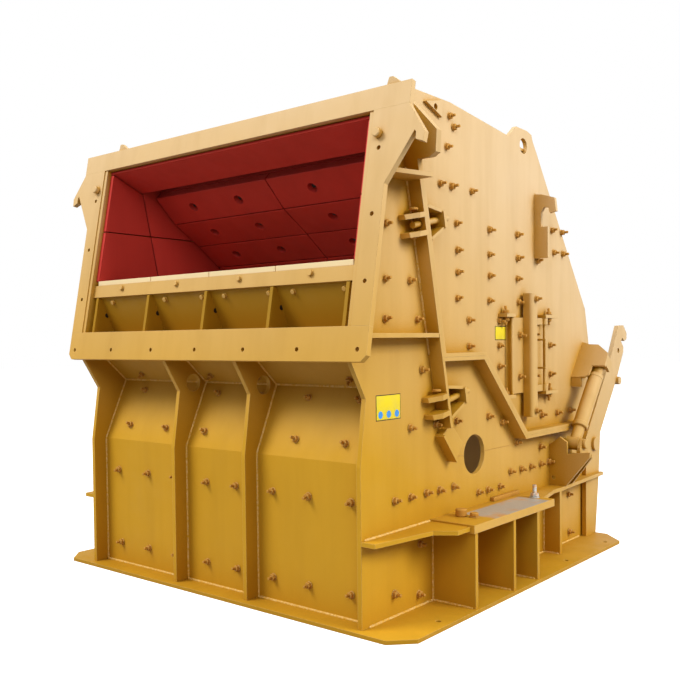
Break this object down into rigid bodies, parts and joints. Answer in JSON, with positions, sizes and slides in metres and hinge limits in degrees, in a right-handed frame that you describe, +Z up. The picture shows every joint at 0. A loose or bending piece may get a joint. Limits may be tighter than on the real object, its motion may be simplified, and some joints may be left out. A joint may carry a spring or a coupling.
{
  "type": "impact crusher",
  "caption": "Horizontal-shaft impact crusher: raised feed inlet on a welded lower frame, hinged rear housing with impact apron, lifting cylinders and inspection doors.",
  "frame": {"origin": "on the floor, under the middle of the machine's plan", "axes": "+Z up, the feed inlet faces -Y, the rear housing tips back towards +Y, +X to the right seen from the inlet"},
  "size_m": [2.728, 3.2254, 2.629],
  "materials": {
    "ochre_paint": "satin",
    "red_paint": "satin",
    "machined_steel": "machined"
  },
  "bodies": {
    "frame": {"base_frame": "ochre_paint", "front_wall": "ochre_paint", "front_ribs": "ochre_paint", "rear_wall": "ochre_paint", "bearing_seats": "machined_steel", "hinge_brackets": "ochre_paint", "rod_brackets": "ochre_paint", "inlet_rail": "ochre_paint", "inlet_posts": "ochre_paint", "lintel": "ochre_paint", "inlet_roof": "red_paint", "inlet_liners": "red_paint", "inlet_shelves": "ochre_paint", "feed_plate": "ochre_paint", "feed_lip": "ochre_paint", "bay_wall": "ochre_paint", "bay_gussets": "ochre_paint", "clamp_brackets": "ochre_paint", "deflectors": "ochre_paint", "side_plate_right": "ochre_paint", "side_plate_left": "ochre_paint", "frame_flange_right": "ochre_paint", "frame_flange_left": "ochre_paint", "pedestal_right": "ochre_paint", "pedestal_left": "ochre_paint", "rear_post_right": "ochre_paint", "rear_post_left": "ochre_paint"},
    "rear_housing": {"clamp_seats": "ochre_paint", "housing_roof": "ochre_paint", "housing_back": "ochre_paint", "housing_sill": "ochre_paint", "head_brackets": "ochre_paint", "hook_brackets": "ochre_paint", "door_hinges": "ochre_paint", "apron_hanger": "machined_steel", "apron_frame": "red_paint", "apron_row_1": "red_paint", "apron_row_2": "red_paint", "apron_row_3": "red_paint", "apron_row_4": "red_paint", "housing_side_right": "ochre_paint", "housing_side_left": "ochre_paint", "housing_flange_right": "ochre_paint", "housing_flange_left": "ochre_paint"},
    "door_right": {"inspection_door_right": "ochre_paint"},
    "door_left": {"inspection_door_left": "ochre_paint"},
    "rod_right": {"cylinder_rod_right": "ochre_paint"},
    "rod_left": {"cylinder_rod_left": "ochre_paint"},
    "barrel_right": {"cylinder_barrel_right": "ochre_paint"},
    "barrel_left": {"cylinder_barrel_left": "ochre_paint"}
  },
  "joints": [
    {"name": "housing_tip", "type": "hinge", "parent": "frame", "child": "rear_housing", "pos_m": [0, 1.01475, 0.64], "axis": [-1, 0, 0], "range_deg": [0, 32]},
    {"name": "rod_swing_right", "type": "hinge", "parent": "frame", "child": "rod_right", "pos_m": [1.196, 0.48675, 0.702], "axis": [-1, 0, 0], "range_deg": [0, 17.23]},
    {"name": "barrel_stroke_right", "type": "slide", "parent": "rod_right", "child": "barrel_right", "axis": [0, 0.6382, 0.7699], "range_m": [0, 0.2267]},
    {"name": "door_swing_right", "type": "hinge", "parent": "rear_housing", "child": "door_right", "pos_m": [1.0985, 0.27475, 1.269], "axis": [0, 0, 1], "range_deg": [0, 100]},
    {"name": "rod_swing_left", "type": "hinge", "parent": "frame", "child": "rod_left", "pos_m": [-1.196, 0.48675, 0.702], "axis": [-1, 0, 0], "range_deg": [0, 17.23]},
    {"name": "barrel_stroke_left", "type": "slide", "parent": "rod_left", "child": "barrel_left", "axis": [0, 0.6382, 0.7699], "range_m": [0, 0.2267]},
    {"name": "door_swing_left", "type": "hinge", "parent": "rear_housing", "child": "door_left", "pos_m": [-1.0985, 0.27475, 1.269], "axis": [0, 0, -1], "range_deg": [0, 100]}
  ],
  "couplings": [
    {"joint": "rod_swing_right", "follows": "housing_tip", "ratio": 0.537},
    {"joint": "barrel_stroke_right", "follows": "housing_tip", "m_per_rad": 0.405},
    {"joint": "rod_swing_left", "follows": "housing_tip", "ratio": 0.537},
    {"joint": "barrel_stroke_left", "follows": "housing_tip", "m_per_rad": 0.405}
  ]
}
